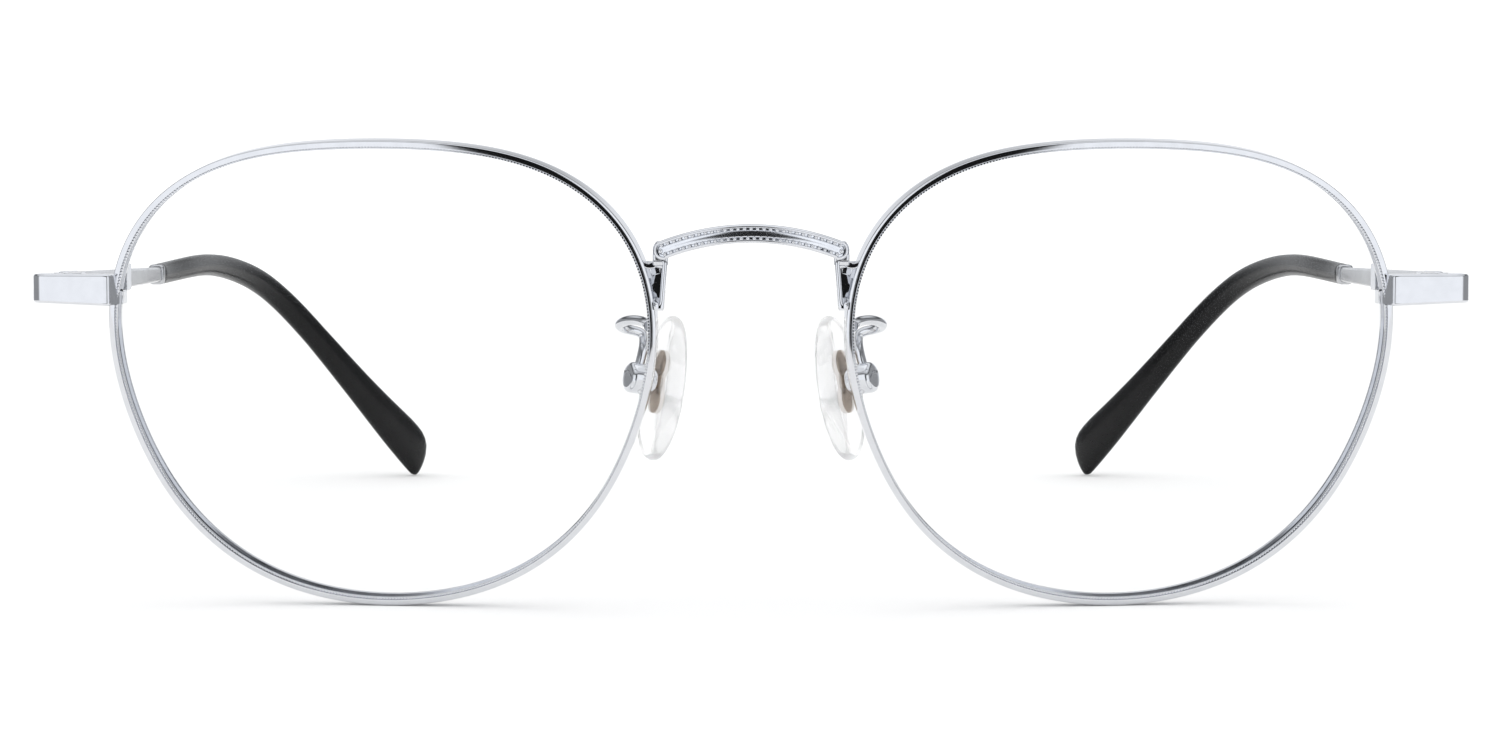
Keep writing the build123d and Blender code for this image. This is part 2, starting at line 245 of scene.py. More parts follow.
def noise(nodes, links, scale, detail=4.0, stretch=(1, 1, 1)):
    """A noise texture in object space; scale is in features per metre."""
    where = nodes.new("ShaderNodeTexCoord")
    spread = nodes.new("ShaderNodeMapping")
    spread.inputs["Scale"].default_value = stretch
    texture = nodes.new("ShaderNodeTexNoise")
    texture.inputs["Scale"].default_value = scale
    texture.inputs["Detail"].default_value = detail
    links.new(where.outputs["Object"], spread.inputs["Vector"])
    links.new(spread.outputs["Vector"], texture.inputs["Vector"])
    return texture.outputs["Fac"]


def spread_over(nodes, links, value, low, high, start=0.3, end=0.7):
    """A 0..1 value mapped onto low..high."""
    ranged = nodes.new("ShaderNodeMapRange")
    ranged.inputs["From Min"].default_value = start
    ranged.inputs["From Max"].default_value = end
    ranged.inputs["To Min"].default_value = low
    ranged.inputs["To Max"].default_value = high
    links.new(value, ranged.inputs["Value"])
    return ranged.outputs["Result"]


def tinted(nodes, links, value, first, second):
    """A colour between two, by a 0..1 value."""
    ramp = nodes.new("ShaderNodeValToRGB")
    ramp.color_ramp.elements[0].position = 0.35
    ramp.color_ramp.elements[1].position = 0.65
    ramp.color_ramp.elements[0].color = (*first, 1)
    ramp.color_ramp.elements[1].color = (*second, 1)
    links.new(value, ramp.inputs["Fac"])
    return ramp.outputs["Color"]


def bumped(nodes, links, shader, height, strength, distance, edge=0.0):
    """Fine relief on the shader's normal, over rounded edges where edge is their radius in metres."""
    bump = nodes.new("ShaderNodeBump")
    bump.inputs["Strength"].default_value = strength
    bump.inputs["Distance"].default_value = distance
    links.new(height, bump.inputs["Height"])
    if edge:
        soft = nodes.new("ShaderNodeBevel")
        soft.samples = 6
        soft.inputs["Radius"].default_value = edge
        links.new(soft.outputs["Normal"], bump.inputs["Normal"])
    links.new(bump.outputs["Normal"], shader.inputs["Normal"])


def metal(name, dark, light, rough, grain, relief, edge=0.0, stretch=(1, 1, 1)):
    """Plated or bare metal: slight colour drift, uneven polish and fine scratches along one way."""
    made, nodes, links, shader = material(name, Metallic=1.0)
    drift = noise(nodes, links, 900.0)
    fine = noise(nodes, links, grain, 6.0, stretch)
    links.new(tinted(nodes, links, drift, dark, light), shader.inputs["Base Color"])
    links.new(spread_over(nodes, links, fine, rough[0], rough[1]), shader.inputs["Roughness"])
    bumped(nodes, links, shader, fine, relief, 4e-6, edge)
    return made


CHROME = metal("polished_chrome", (0.685, 0.695, 0.72), (0.715, 0.725, 0.75), (0.045, 0.09), 5200.0, 0.05)
BAR_METAL = metal(
    "brushed_chrome", (0.47, 0.475, 0.49), (0.55, 0.555, 0.57), (0.16, 0.26), 3000.0, 0.22, 0.0, (1, 0.05, 1)
)
CAD_CHROME = metal(
    "machined_chrome", (0.64, 0.65, 0.675), (0.72, 0.73, 0.755), (0.08, 0.17), 6400.0, 0.16, 0.00012, (1, 1, 6)
)
SATIN = metal("satin_chrome", (0.70, 0.72, 0.76), (0.78, 0.80, 0.84), (0.10, 0.17), 9000.0, 0.2, 0.0, (1, 1, 4))
STEEL = metal("screw_steel", (0.60, 0.56, 0.50), (0.74, 0.70, 0.64), (0.16, 0.30), 8000.0, 0.3, 0.00006)
TAUPE = metal("insert_metal", (0.36, 0.30, 0.25), (0.47, 0.40, 0.34), (0.26, 0.40), 7000.0, 0.3, 0.00008)


def acetate():
    """Black tip plastic: a tumbled satin gloss with faint swirl and handling scratches."""
    made, nodes, links, shader = material("black_acetate", IOR=1.28, Specular_IOR_Level=0.5)
    swirl = noise(nodes, links, 260.0, 3.0, (1, 0.25, 1))
    fine = noise(nodes, links, 6000.0, 6.0, (1, 0.12, 1))
    colour = tinted(nodes, links, swirl, (0.002, 0.002, 0.0022), (0.004, 0.004, 0.0045))
    links.new(colour, shader.inputs["Base Color"])
    links.new(spread_over(nodes, links, fine, 0.20, 0.29), shader.inputs["Roughness"])
    bumped(nodes, links, shader, fine, 0.06, 4e-6)
    return made


def clear_pad():
    """Clear, slightly soft pad plastic, with faint unevenness in its polish."""
    made, nodes, links, shader = material(
        "clear_pad", Base_Color=(0.99, 0.99, 0.99, 1), IOR=1.3, Transmission_Weight=1.0
    )
    cloud = noise(nodes, links, 700.0, 3.0)
    links.new(spread_over(nodes, links, cloud, 0.02, 0.09), shader.inputs["Roughness"])
    bumped(nodes, links, shader, cloud, 0.12, 2e-5)
    through = nodes.new("ShaderNodeBsdfTransparent")
    through.inputs["Color"].default_value = (0.985, 0.987, 0.99, 1)
    mixed = nodes.new("ShaderNodeMixShader")
    mixed.inputs["Fac"].default_value = 0.57
    links.new(through.outputs["BSDF"], mixed.inputs[1])
    links.new(shader.outputs["BSDF"], mixed.inputs[2])
    links.new(mixed.outputs["Shader"], nodes["Material Output"].inputs["Surface"])
    return made


def clear_lens():
    """Thin clear lens: see-through, mirroring a little more where it is seen edge on."""
    made, nodes, links, shader = material("clear_lens", Base_Color=(1, 1, 1, 1), Metallic=0.0)
    nodes.remove(shader)
    output = nodes["Material Output"]
    through = nodes.new("ShaderNodeBsdfTransparent")
    through.inputs["Color"].default_value = (0.993, 0.995, 0.995, 1)
    gloss = nodes.new("ShaderNodeBsdfGlossy")
    gloss.inputs["Color"].default_value = (0.93, 0.96, 1.0, 1)
    smears = noise(nodes, links, 140.0, 5.0, (1, 1, 2.5))
    links.new(spread_over(nodes, links, smears, 0.01, 0.05), gloss.inputs["Roughness"])
    edge_on = nodes.new("ShaderNodeLayerWeight")
    steep = nodes.new("ShaderNodeMath")
    steep.operation = "POWER"
    steep.inputs[1].default_value = 4.0
    links.new(edge_on.outputs["Facing"], steep.inputs[0])
    mixed = nodes.new("ShaderNodeMixShader")
    links.new(spread_over(nodes, links, steep.outputs["Value"], 0.002, 0.28, 0.0, 1.0), mixed.inputs["Fac"])
    links.new(through.outputs["BSDF"], mixed.inputs[1])
    links.new(gloss.outputs["BSDF"], mixed.inputs[2])
    links.new(mixed.outputs["Shader"], output.inputs["Surface"])
    return made


ACETATE = acetate()
CLEAR_PAD = clear_pad()
CLEAR_LENS = clear_lens()


# ---------------------------------------------------------------- lens surface

across = np.array([cos(radians(WRAP)), sin(radians(WRAP)), 0])
back = np.array([-sin(radians(WRAP)), cos(radians(WRAP)), 0]) * cos(radians(PANTO))
back = back + np.array([0, 0, sin(radians(PANTO))])
upward = np.cross(-back, across)


def outline(angle):
    """Radius of the rim's centre line; a rounded panto shape, a little wider above its middle."""
    return (
        24.38
        + 1.84 * cos(2 * angle)
        + 1.05 * sin(3 * angle)
        - 0.40 * cos(4 * angle)
        + 0.17 * sin(5 * angle)
        - 0.07 * cos(6 * angle)
    )


def on_lens(angle, offset, depth, share=1.0):
    """A point offset from the outline (or a share of the way out to it), at a depth behind the front curve."""
    radius = (outline(angle) + offset) * share
    sag = BASE_RADIUS - sqrt((BASE_RADIUS - depth) ** 2 - radius**2)
    return np.array(LENS_CENTER) + radius * cos(angle) * across + radius * sin(angle) * upward + sag * back


def angle_at_height(z, low, high, offset=0.0, depth=1.0):
    """The angle between low and high where the rim is at height z."""
    rising = on_lens(high, offset, depth)[2] > on_lens(low, offset, depth)[2]
    for _ in range(40):
        middle = (low + high) / 2
        if (on_lens(middle, offset, depth)[2] < z) == rising:
            low = middle
        else:
            high = middle
    return low


# ---------------------------------------------------------------- front pieces

# Rim section as (offset, depth): a ledge for the beading, a polished round front, walls and lens groove
RIM_SECTION = [
    (-0.37, 0.24),
    (-0.205, 0.23),
    (-0.195, 0.12),
    (-0.18, 0.05),
    (-0.165, 0.014),
    (-0.13, 0.004),
    (0.0, 0.0),
    (0.15, 0.0),
    (0.32, 0.003),
    (0.352, 0.018),
    (0.372, 0.05),
    (0.384, 0.10),
    (0.389, 0.18),
    (0.39, 0.40),
    (0.39, 0.85),
    (0.39, 1.35),
    (0.39, 1.85),
    (0.37, 2.00),
    (0.31, 2.12),
    (0.20, 2.19),
    (0.05, 2.20),
    (-0.20, 2.19),
    (-0.32, 2.13),
    (-0.38, 2.03),
    (-0.39, 1.90),
    (-0.39, 1.74),
    (-0.36, 1.70),
    (-0.06, 1.70),
    (-0.06, 0.50),
    (-0.36, 0.50),
    (-0.39, 0.46),
    (-0.39, 0.30),
]
RIM_STEPS = 540
BEAD_PITCH = 0.30
BEAD_RADIUS = 0.105
BEAD_LINE = (-0.29, 0.15)


def rim_wire():
    """The rim's section swept round the lens outline, from just past the cut above the end piece."""
    start = angle_at_height(SPLIT_Z, 0, pi / 4)
    gap = SPLIT_GAP / 2 / outline(start)
    rings = []
    for i in range(RIM_STEPS + 1):
        angle = start + gap + (TURN - 2 * gap) * i / RIM_STEPS
        rings.append([on_lens(angle, offset, depth) for offset, depth in RIM_SECTION])
    return strips(rings)


def evenly(line, pitch, closed):
    """Points a pitch apart along a fine polyline, rounded to a whole number of them."""
    line = np.array(line)
    lengths = np.concatenate([[0], np.cumsum(np.linalg.norm(np.diff(line, axis=0), axis=1))])
    count = max(2, round(lengths[-1] / pitch))
    marks = np.linspace(0, lengths[-1], count + 1)
    if closed:
        marks = marks[:-1]
    return np.stack([np.interp(marks, lengths, line[:, i]) for i in range(3)], axis=1)


def rim_beading():
    """Fine beads along the inner edge of the rim's face."""
    line = [on_lens(TURN * i / RIM_STEPS, *BEAD_LINE) for i in range(RIM_STEPS + 1)]
    centers = evenly(line, BEAD_PITCH, closed=True)
    return beads(centers, [BEAD_RADIUS] * len(centers), detail=1)


def lens_body():
    """The lens: a curved front and back of shrinking outlines, closed at their middles."""
    steps, shells = 180, 28
    rings = []
    for depth, shares in (
        (LENS_DEPTHS[0], [k / shells for k in range(1, shells + 1)]),
        (LENS_DEPTHS[1], [k / shells for k in range(shells, 0, -1)]),
    ):
        for share in shares:
            rings.append([on_lens(TURN * j / steps, LENS_EDGE, depth, share) for j in range(steps)])
    return strips(rings)


def bow(x):
    """How far back the bridge's bowed front has gone at x."""
    return BRIDGE_BOW - sqrt(BRIDGE_BOW**2 - x**2)


def bridge_loop(inset, y):
    """The arched bar with its round ends, seen from the front, drawn inside by inset."""
    end_x, end_z = BRIDGE_END
    rise = BRIDGE_MID_Z - end_z
    radius = (end_x**2 + rise**2) / (2 * rise)
    center_z = BRIDGE_MID_Z - radius
    reach = np.arcsin(end_x / radius)
    half = max(BRIDGE_HALF - inset, 0.01)
    knob = max(BRIDGE_END_RADIUS - inset, 0.02)
    loop = []
    for side in (1, -1):
        for i in range(41):
            turn = reach * (1 - i / 20) * side
            loop.append((sin(turn) * (radius + side * half), center_z + cos(turn) * (radius + side * half)))
        for i in range(1, 16):
            swing = pi / 2 + reach + pi * i / 16 if side == 1 else -pi / 2 - reach + pi * i / 16
            center = (-side * end_x, end_z)
            loop.append((center[0] + knob * cos(swing), center[1] + knob * sin(swing)))
    return [(x, y + bow(x), z) for x, z in loop]


BRIDGE_PROFILE = [
    (0.30, BRIDGE_BACK),
    (0.12, BRIDGE_BACK - 0.02),
    (0.03, BRIDGE_BACK - 0.08),
    (0.0, BRIDGE_BACK - 0.20),
    (0.0, -2.42),
    (0.03, -2.55),
    (0.09, -2.64),
    (0.17, -2.69),
    (0.24, -2.70),
    (0.29, -2.68),
    (0.33, -2.62),
    (0.35, -2.40),
    (0.36, -2.36),
]
BRIDGE_FIELD = [(0.355, -2.38), (0.50, -2.38), (0.54, -2.50), (0.58, -2.545), (0.66, -2.56), (0.86, -2.565)]
BRIDGE_PITCH = 0.61
BRIDGE_BEAD = 0.19
BRIDGE_BEAD_Y = -2.54
BRIDGE_BEAD_INSET = 0.42
BRIDGE_END_BEAD = 0.25


def bridge_bar():
    """The bar with its raised border."""
    return strips([bridge_loop(inset, y) for inset, y in BRIDGE_PROFILE])


def bridge_field():
    """The sunk, satin field inside the border."""
    return strips([bridge_loop(inset, y) for inset, y in BRIDGE_FIELD])


def bridge_beading():
    """Beads along both edges of the field, and a larger one at each end."""
    end_x, end_z = BRIDGE_END
    rise = BRIDGE_MID_Z - end_z
    radius = (end_x**2 + rise**2) / (2 * rise)
    reach = np.arcsin(end_x / radius)
    centers, radii = [], []
    for side in (1, -1):
        arc = radius + side * (BRIDGE_HALF - BRIDGE_BEAD_INSET)
        count = round(2 * reach * arc / BRIDGE_PITCH)
        for i in range(count + 1):
            turn = reach * (2 * i / count - 1)
            x = arc * sin(turn)
            centers.append((x, BRIDGE_BEAD_Y + bow(x), BRIDGE_MID_Z - radius + arc * cos(turn)))
            radii.append(BRIDGE_BEAD)
    for side in (1, -1):
        centers.append((side * (end_x + 0.25), BRIDGE_BEAD_Y + bow(end_x + 0.25), end_z - 0.12))
        radii.append(BRIDGE_END_BEAD)
    return beads(np.array(centers), radii)


FOOT_TOP = 33.42
FOOT_BOTTOM = 28.8
FOOT_LEVELS = 24
FOOT_FRONT = -1.5
FOOT_BACK = 1.1
FOOT_HOLLOW = 1.15
NECK_AT = (8.52, -0.52)
NECK_HALF = (0.72, 0.74)
# Height, and how much the neck has grown there
NECK_PROFILE = ((33.0, -0.1), (33.1, 0.0), (33.9, 0.02), (34.7, -0.02), (34.85, -0.14))
SADDLE_X = (8.7, 10.35)
SADDLE_Y = -0.36
SADDLE_Z = 32.97
SADDLE_DIP = 0.42
SADDLE_HALF = (0.72, 0.30)


def bridge_bracket():
    """The web down the rim's nose side, hollowed between a ridge by the nose and the rim, with the neck
    that carries the bar and the dipped saddle from the neck to the rim."""
    rings = []
    for i in range(FOOT_LEVELS + 1):
        share = i / FOOT_LEVELS
        z = FOOT_TOP + (FOOT_BOTTOM - FOOT_TOP) * share
        squeeze = 0.06 if i in (0, FOOT_LEVELS) else 0.0
        nose = 7.85 + 0.35 * share + squeeze
        angle = angle_at_height(z, radians(110), radians(200), RIM_HALF, 1.0)
        rim = on_lens(angle, RIM_HALF - 0.15, 1.0)[0]
        wide = rim - nose
        front, rear = FOOT_FRONT + squeeze, FOOT_BACK - squeeze
        deep = FOOT_HOLLOW * min(1, share / 0.10) * min(1, max(0, (0.86 - share) / 0.10))
        ridge = min(0.46, 0.5 * wide)
        bank = nose + max(ridge + 0.1, wide * (0.66 - 0.12 * sin(9 * share)))
        bank = min(bank, rim - 0.05)
        lift = 0.45 * deep
        rings.append(
            [
                (nose, front + 0.26, z),
                (nose + 0.04, front + 0.09, z),
                (nose + 0.14, front + 0.01, z),
                (nose + ridge - 0.12, front + 0.01, z),
                (nose + ridge - 0.03, front + min(0.10, deep), z),
                (nose + ridge, front + 0.9 * deep, z),
                (nose + ridge + 0.04, front + deep, z),
                (bank, front + deep, z),
                (0.5 * (bank + rim), front + deep - lift + 0.05, z),
                (rim, front + deep - lift + 0.25, z),
                (rim, rear - 0.1, z),
                (nose + 0.55 * wide, rear, z),
                (nose + 0.2, rear - 0.03, z),
                (nose + 0.03, rear - 0.2, z),
            ]
        )
    web = strips(rings)
    neck = []
    for z, grow in NECK_PROFILE:
        loop = rounded(NECK_HALF[0] + grow, NECK_HALF[1] + grow, 0.2)
        neck.append([(NECK_AT[0] + x, NECK_AT[1] + y, z) for x, y in loop])
    saddle = []
    for share in np.linspace(0, 1, 13):
        x = SADDLE_X[0] + (SADDLE_X[1] - SADDLE_X[0]) * share
        z = SADDLE_Z + SADDLE_DIP * abs(2 * share - 1) ** 2.5
        loop = rounded(*SADDLE_HALF, 0.16)
        saddle.append([(x, SADDLE_Y + y, z + h) for y, h in loop])
    return joined(web, strips(neck), strips(saddle))


END_TOP = 32.02
END_BOTTOMS = (29.0, 29.27)


def end_bar():
    """The end piece: outer and inner plan curves walked together, with a rounded upright section between."""
    outer = [(61.2, 3.35), (61.45, 3.37)]
    inner = [(60.45, 4.93), (61.0, 5.40)]
    for x in np.linspace(62.4, 67.2, 6):
        outer.append((x + 0.1, 3.35 + (x + 0.1 - 61.2) * 0.079))
        inner.append((x - 0.5, 5.45 + (x - 0.5 - 61.2) * 0.079))
    for turn in np.linspace(-80, 0, 10):
        outer.append((67.3 + 1.5 * cos(radians(turn)), 5.33 + 1.5 * sin(radians(turn))))
        inner.append((66.65 + 0.6 * cos(radians(turn)), 6.6 + 0.6 * sin(radians(turn))))
    for y in (7.2, 8.2, 9.15):
        outer.append((68.8, y))
        inner.append((67.25, y))
    rings = []
    last = len(outer) - 1
    for i, (near, far) in enumerate(zip(outer, inner)):
        near, far = np.array(near), np.array(far)
        middle, half = (near + far) / 2, (near - far) / 2
        bottom = np.interp(middle[0], (61.2, 67.3), END_BOTTOMS)
        trim = 0.10 if i in (0, last) else 0.0
        half_thick = np.linalg.norm(half) - trim
        half_high = (END_TOP - bottom) / 2 - trim
        unit = half / np.linalg.norm(half)
        loop = rounded(half_thick, half_high, 0.26)
        rings.append(
            [
                (*(middle + unit * a), (END_TOP + bottom) / 2 + b)
                for a, b in loop
            ]
        )
    return strips(rings)


# ---------------------------------------------------------------- temples and tips


TEMPLE_STEPS = 24
TEMPLE_TRIM = 0.08
COLLAR_HALF = (0.95, 1.175)
# Distance forward of the bar's end, and how much the collar has grown there
COLLAR_PROFILE = (
    (0.92, -0.26),
    (0.86, -0.15),
    (0.74, -0.05),
    (0.58, 0.0),
    (0.2, 0.0),
    (0.06, -0.05),
    (0.0, -0.15),
)


def temple_bar():
    """A flat bar, tapering back to the collar that the tip starts from."""
    rings = []
    first, last = np.array((68.0, TEMPLE_START, 30.62)), np.array(TIP_LINE[0])
    for i in range(TEMPLE_STEPS + 1):
        share = i / TEMPLE_STEPS
        center = first + (last - first) * share
        half = (0.75 - 0.10 * share, 1.325 - 0.50 * share)
        trim = TEMPLE_TRIM if i == 0 else 0.0
        loop = rounded(half[0] - trim, half[1] - trim, 0.26)
        if i == 0:
            rings.append([(center[0] + a, center[1], center[2] + b) for a, b in loop])
            loop = rounded(half[0], half[1], 0.28)
            rings.append([(center[0] + a, center[1] + TEMPLE_TRIM, center[2] + b) for a, b in loop])
            continue
        rings.append([(center[0] + a, center[1], center[2] + b) for a, b in loop])
    collar = []
    for back_by, grow in COLLAR_PROFILE:
        loop = rounded(COLLAR_HALF[0] + grow, COLLAR_HALF[1] + grow, 0.55)
        collar.append([(last[0] + a, last[1] - back_by, last[2] + b) for a, b in loop])
    return joined(strips(rings), strips(collar))


# Share of the tip's length, half thickness, half height, shift along its height
TIP_SECTIONS = np.array(
    [
        (0.0, 0.92, 1.06, 0.0),
        (0.008, 1.05, 1.22, 0.0),
        (0.30, 1.05, 1.32, 0.0),
        (0.42, 1.08, 1.46, 0.0),
        (0.515, 1.1, 1.56, 0.0),
        (0.67, 1.1, 1.62, 0.0),
        (0.731, 1.12, 1.78, 0.0),
        (0.793, 1.17, 2.02, 0.0),
        (0.855, 1.22, 2.34, 0.0),
        (0.90, 1.24, 2.60, 0.02),
        (0.925, 1.25, 2.72, 0.04),
        (0.945, 1.24, 2.76, 0.02),
        (0.960, 1.2, 2.74, -0.05),
        (0.972, 1.12, 2.62, -0.20),
        (0.982, 1.0, 2.38, -0.46),
        (0.990, 0.82, 1.95, -0.88),
        (0.9955, 0.6, 1.35, -1.32),
        (0.9985, 0.36, 0.80, -1.68),
        (1.0, 0.12, 0.20, -2.12),
    ]
)


TIP_SHARES = np.concatenate([(0, 0.004, 0.008), np.linspace(0.015, 0.92, 90), np.linspace(0.925, 1.0, 46)])


def tip_body():
    """The tip: an oval section swept along its line, growing into a paddle with a rounded end."""
    line = spline(TIP_LINE, (0, 1, 0), TIP_END_DIRECTION)
    rings = []
    for share in TIP_SHARES:
        center, along = line(share)
        level = np.array((along[1], -along[0], 0))
        level = level / np.linalg.norm(level)
        height = np.cross(level, along)
        thick, high, rise = (np.interp(share, TIP_SECTIONS[:, 0], TIP_SECTIONS[:, k]) for k in (1, 2, 3))
        center = center + rise * height
        rings.append([center + a * level + b * height for a, b in superellipse(thick, high, 2.25, 36)])
    return strips(rings)


# ---------------------------------------------------------------- nose pads

splay, lean = radians(PAD_SPLAY), radians(PAD_LEAN)
inward = np.array((-cos(splay), sin(splay), 0))
pad_normal = inward * cos(lean) - np.array((0, 0, sin(lean)))
pad_up = inward * sin(lean) + np.array((0, 0, cos(lean)))
pad_across = np.cross(pad_up, pad_normal)


def in_pad(x, y, z):
    """A point of the pad's own frame: x across it, y up it, z along its normal, from the pad box's centre."""
    return np.array(BOX_AT) + x * pad_across + y * pad_up + z * pad_normal


def pad_arm():
    line = spline(ARM_LINE, np.subtract(ARM_LINE[1], ARM_LINE[0]), np.subtract(ARM_LINE[-1], ARM_LINE[-2]))
    rings = []
    side = np.array((0.0, 0.0, 1.0))
    for i in range(121):
        share = i / 120
        center, along = line(share)
        side = side - along * (side @ along)
        side = side / np.linalg.norm(side)
        other = np.cross(along, side)
        radius = ARM_RADIUS + 0.16 * max(0, 1 - share / 0.06) ** 2
        turns = [TURN * j / 20 for j in range(20)]
        rings.append([center + radius * (cos(turn) * side + sin(turn) * other) for turn in turns])
    return strips(rings)


def pad_box():
    count = 48
    circle = [(cos(TURN * j / count), sin(TURN * j / count)) for j in range(count)]
    slot_loop = superellipse(0.625, 1.15, 8, count)
    rings = []
    for radius, z in (
        (0.55, BOX_BACK),
        (1.02, BOX_BACK + 0.01),
        (1.22, BOX_BACK + 0.07),
        (1.37, BOX_BACK + 0.18),
        (1.47, BOX_BACK + 0.34),
        (BOX_RADIUS, BOX_BACK + 0.5),
        (BOX_RADIUS, BOX_FRONT - 0.25),
        (1.47, BOX_FRONT - 0.11),
        (1.40, BOX_FRONT - 0.03),
        (1.30, BOX_FRONT),
    ):
        rings.append([in_pad(radius * x, radius * y, z) for x, y in circle])
    for grow, z in ((1.05, BOX_FRONT), (1.0, BOX_FRONT - 0.05), (1.0, -1.1)):
        rings.append([in_pad(grow * x, grow * y, z) for x, y in slot_loop])
    return strips(rings)


def pad_body():
    """An oval cushion of clear plastic: nearly flat behind, domed towards the nose, narrower at its top."""
    count = 72
    rings = []
    edge = PAD_BACK + 1.05
    profile = [(k, PAD_BACK + 0.16 - 0.16 * sin(k / 0.8 * pi / 2)) for k in (0.12, 0.3, 0.5, 0.65, 0.78)]
    bends = np.linspace(0.2, pi / 2, 8)
    profile += [(0.78 + 0.22 * sin(t), edge - (edge - PAD_BACK) * cos(t)) for t in bends]
    dome = PAD_BACK + PAD_THICKNESS - edge
    crown = edge + 0.8 * dome
    profile += [(0.70 + 0.30 * cos(t), edge + 0.8 * dome * sin(t)) for t in bends]
    profile += [(k, crown + 0.2 * dome * (1 - (k / 0.7) ** 2)) for k in (0.6, 0.45, 0.3, 0.15, 0.04)]
    for scale, z in profile:
        ring = []
        for x, y in superellipse(PAD_HALF[0], PAD_HALF[1], 2.15, count):
            narrow = 1 - 0.10 * max(0, y / PAD_HALF[1])
            ring.append(in_pad(scale * x * narrow, scale * y - PAD_DROP, z))
        rings.append(ring)
    return strips(rings)


def pad_insert():
    """Two round lobes joined by a waist inside the pad, and a tab that reaches into the box."""
    lobe, reach, waist = 1.3, 1.8, 0.75
    outline_loop = []
    for i in range(64):
        turn = TURN * i / 64
        y = (reach + lobe) * sin(turn)
        edge_y = abs(y) - reach
        width = sqrt(max(lobe**2 - edge_y**2, 0)) if edge_y > -lobe else 0
        width = max(width, waist if abs(y) < reach else width)
        outline_loop.append((width * (1 if cos(turn) >= 0 else -1), y))
    rings = []
    low = PAD_BACK + 0.35
    for shrink, z in ((0.93, low), (1.0, low + 0.07), (1.0, low + 0.43), (0.93, low + 0.5)):
        rings.append([in_pad(shrink * x, shrink * y, z) for x, y in outline_loop])
    tab = []
    ends = ((-0.62, 0.30), (-0.5, 0.5), (-0.2, 0.64), (0.3, 0.65), (low + 0.1, 0.65), (low + 0.2, 0.65))
    for z, half in ends:
        tab.append([in_pad(a, b, z) for a, b in rounded(0.34, half, 0.12)])
    return joined(strips(rings), strips(tab))


# ---------------------------------------------------------------- assembly

for side in SIDES:
    node = side + "_"
    pad, temple = side + "_pad", side + "_temple"
    put(node + "rim_wire", rim_wire(), side, CHROME, "front", [node + "rim"], 50.0)
    put(node + "rim_beading", rim_beading(), side, CHROME, "front", ())
    put(node + "lens_body", lens_body(), side, CLEAR_LENS, "front", [node + "lens"])
    foot = [node + "bridge_foot"]
    put(node + "bridge_bracket", bridge_bracket(), side, CHROME, "front", foot, 50.0)
    put(node + "end_bar", end_bar(), side, CHROME, "front", [node + "end_piece"], 50.0, True)
    put(node + "pad_arm_wire", pad_arm(), side, CHROME, "front", [node + "pad_arm"])
    put(node + "pad_cup", pad_box(), side, CHROME, "front", [node + "pad_box"])
    put(node + "pad_cushion", pad_body(), side, CLEAR_PAD, pad, [node + "nose_pad"], 60.0)
    put(node + "pad_core", pad_insert(), side, TAUPE, pad, [node + "pad_insert"], 45.0)
    put(node + "temple_bar", temple_bar(), side, BAR_METAL, temple, [node + "temple"], 50.0, True)
    put(node + "tip_body", tip_body(), side, ACETATE, temple, [node + "temple_tip"], 60.0)

put("bridge_bar", bridge_bar(), "middle", CHROME, "front", ["bridge"], 50.0)
put("bridge_field", bridge_field(), "middle", SATIN, "front", (), 60.0)
put("bridge_beading", bridge_beading(), "middle", CHROME, "front", ())

for name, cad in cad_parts.items():
    if cad.hide_render:
        continue
    cad.data.materials.clear()
    cad.data.materials.append(STEEL if "screw" in name else CAD_CHROME)


# ---------------------------------------------------------------- studio

CAMERA_BACK = 0.330
CAMERA_HEIGHT = 0.043857
CAMERA_TILT = 3.68
CAMERA_LENS = 83.95
FLOOR_SIZE = (0.52, 0.7)
FLOOR_FRONT = 0.080
WHITE = (1.0, 1.0, 1.0, 1)
FLOOR_DROP = 0.00002
SOFTBOX_WATTS = 0.15
PLAIN_LIGHT = 1.20
TENT_CAST = (0.965, 0.985, 1.02)
TENT_SIDE = 0.36
TENT_BACK = 0.95
CEILING = 0.60
BOX_LIGHT = 0.85
BOX_START = (0.15, 0.22)
BOX_END = (1.05, 1.35)
GAP_END = (0.13, 0.20)


def studio_floor():
    data = bpy.data.meshes.new("studio_floor")
    half, front, back = FLOOR_SIZE[0] / 2, ROW_Y - FLOOR_FRONT, FLOOR_SIZE[1]
    corners = [(-half, front, 0), (half, front, 0), (half, back, 0), (-half, back, 0)]
    data.from_pydata(corners, [], [(0, 1, 2, 3)])
    made, nodes, links, shader = material("studio_paper", Roughness=0.9, Specular_IOR_Level=0.1)
    shader.inputs["Base Color"].default_value = (0.90, 0.90, 0.90, 1)
    data.materials.append(made)
    floor = bpy.data.objects.new("studio_floor", data)
    floor.location.z = -FLOOR_DROP
    bpy.context.scene.collection.objects.link(floor)


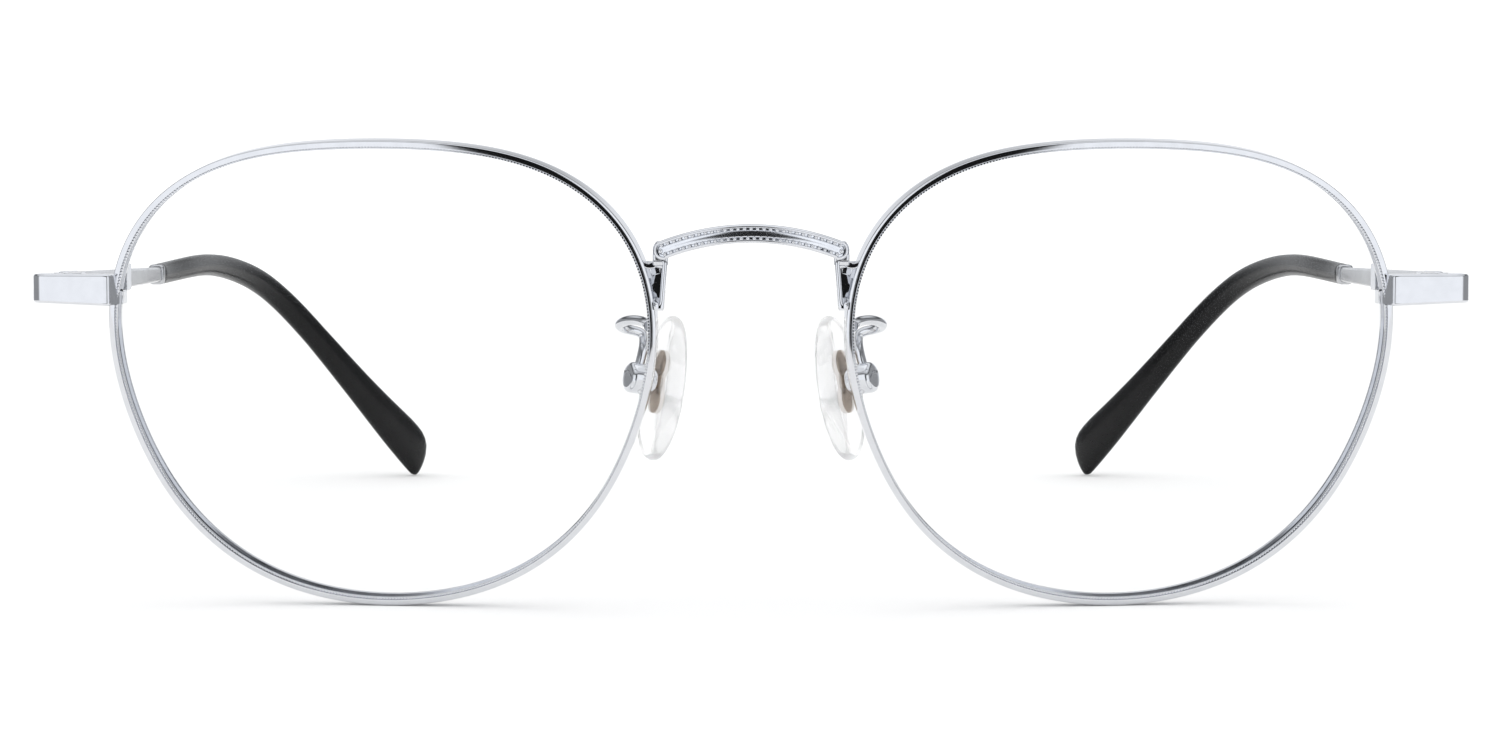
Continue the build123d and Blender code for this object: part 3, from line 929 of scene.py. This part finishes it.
def studio_sky():
    """White all round for the eye. What the metal mirrors is a pale tent: soft boxes either side in front
    with a dark gap between, a grey skirt, a dim seam above the boxes and a bright back."""
    world = bpy.data.worlds.new("studio")
    bpy.context.scene.world = world
    world.use_nodes = True
    nodes, links = world.node_tree.nodes, world.node_tree.links
    where = nodes.new("ShaderNodeTexCoord")
    split = nodes.new("ShaderNodeSeparateXYZ")
    links.new(where.outputs["Generated"], split.inputs["Vector"])

    def math(kind, a, b=None, clamp=False):
        node = nodes.new("ShaderNodeMath")
        node.operation = kind
        node.use_clamp = clamp
        for i, value in enumerate((a, b)):
            if value is None:
                continue
            if isinstance(value, (int, float)):
                node.inputs[i].default_value = value
            else:
                links.new(value, node.inputs[i])
        return node.outputs["Value"]

    def step(value, low, high):
        """0 below low, 1 above high, smooth between."""
        node = nodes.new("ShaderNodeMapRange")
        node.interpolation_type = "SMOOTHSTEP"
        node.inputs["From Min"].default_value = low
        node.inputs["From Max"].default_value = high
        links.new(value, node.inputs["Value"])
        return node.outputs["Result"]

    def inverse(value):
        return math("SUBTRACT", 1.0, value)

    def both(*shares):
        result = shares[0]
        for share in shares[1:]:
            result = math("MULTIPLY", result, share)
        return result

    x, y, z = split.outputs
    round_front = math("ABSOLUTE", math("ARCTAN2", x, math("MULTIPLY", y, -1.0)))
    level = both(step(z, -0.60, -0.45), inverse(step(z, 0.42, 0.60)))
    box_light = both(step(round_front, *BOX_START), inverse(step(round_front, *BOX_END)), level)
    gap = both(inverse(step(round_front, *GAP_END)), level)
    wall = both(step(y, 0.70, 0.90), inverse(step(z, 0.22, 0.45)))
    shade = math("ADD", TENT_SIDE, math("MULTIPLY", wall, TENT_BACK - TENT_SIDE))
    shade = math("ADD", shade, math("MULTIPLY", step(z, 0.50, 0.75), CEILING))
    shade = math("ADD", shade, math("MULTIPLY", box_light, BOX_LIGHT))
    seam = both(step(z, 0.36, 0.44), inverse(step(z, 0.50, 0.58)))
    shade = both(shade, inverse(math("MULTIPLY", seam, 0.75)))
    shade = both(shade, inverse(math("MULTIPLY", gap, 0.97)))
    tint = nodes.new("ShaderNodeCombineColor")
    for i, cast in enumerate(TENT_CAST):
        links.new(math("MULTIPLY", shade, cast), tint.inputs[i])
    tent = nodes["Background"]
    tent.inputs["Strength"].default_value = 1.0
    links.new(tint.outputs["Color"], tent.inputs["Color"])
    plain = nodes.new("ShaderNodeBackground")
    plain.inputs["Color"].default_value = WHITE
    plain.inputs["Strength"].default_value = PLAIN_LIGHT
    path = nodes.new("ShaderNodeLightPath")
    seen = math("MAXIMUM", path.outputs["Is Camera Ray"], path.outputs["Is Transmission Ray"])
    seen = math("MAXIMUM", seen, path.outputs["Is Diffuse Ray"])
    chosen = nodes.new("ShaderNodeMixShader")
    links.new(seen, chosen.inputs["Fac"])
    links.new(tent.outputs["Background"], chosen.inputs[1])
    links.new(plain.outputs["Background"], chosen.inputs[2])
    links.new(chosen.outputs["Shader"], nodes["World Output"].inputs["Surface"])


def studio_camera():
    data = bpy.data.cameras.new("camera")
    data.lens = CAMERA_LENS
    data.sensor_width = 36.0
    data.clip_start = 0.01
    data.clip_end = 20.0
    camera = bpy.data.objects.new("camera", data)
    camera.location = (-0.0001, ROW_Y - CAMERA_BACK, CAMERA_HEIGHT)
    camera.rotation_euler = (radians(90 - CAMERA_TILT), 0, 0)
    bpy.context.scene.collection.objects.link(camera)
    bpy.context.scene.camera = camera


def studio_light():
    data = bpy.data.lights.new("softbox", "AREA")
    data.shape = "RECTANGLE"
    data.size = 0.5
    data.size_y = 0.35
    data.energy = SOFTBOX_WATTS
    lamp = bpy.data.objects.new("softbox", data)
    lamp.location = (0, ROW_Y + 0.05, 0.55)
    bpy.context.scene.collection.objects.link(lamp)


studio_floor()
studio_sky()
studio_camera()
studio_light()
bpy.context.scene.view_settings.view_transform = "Standard"
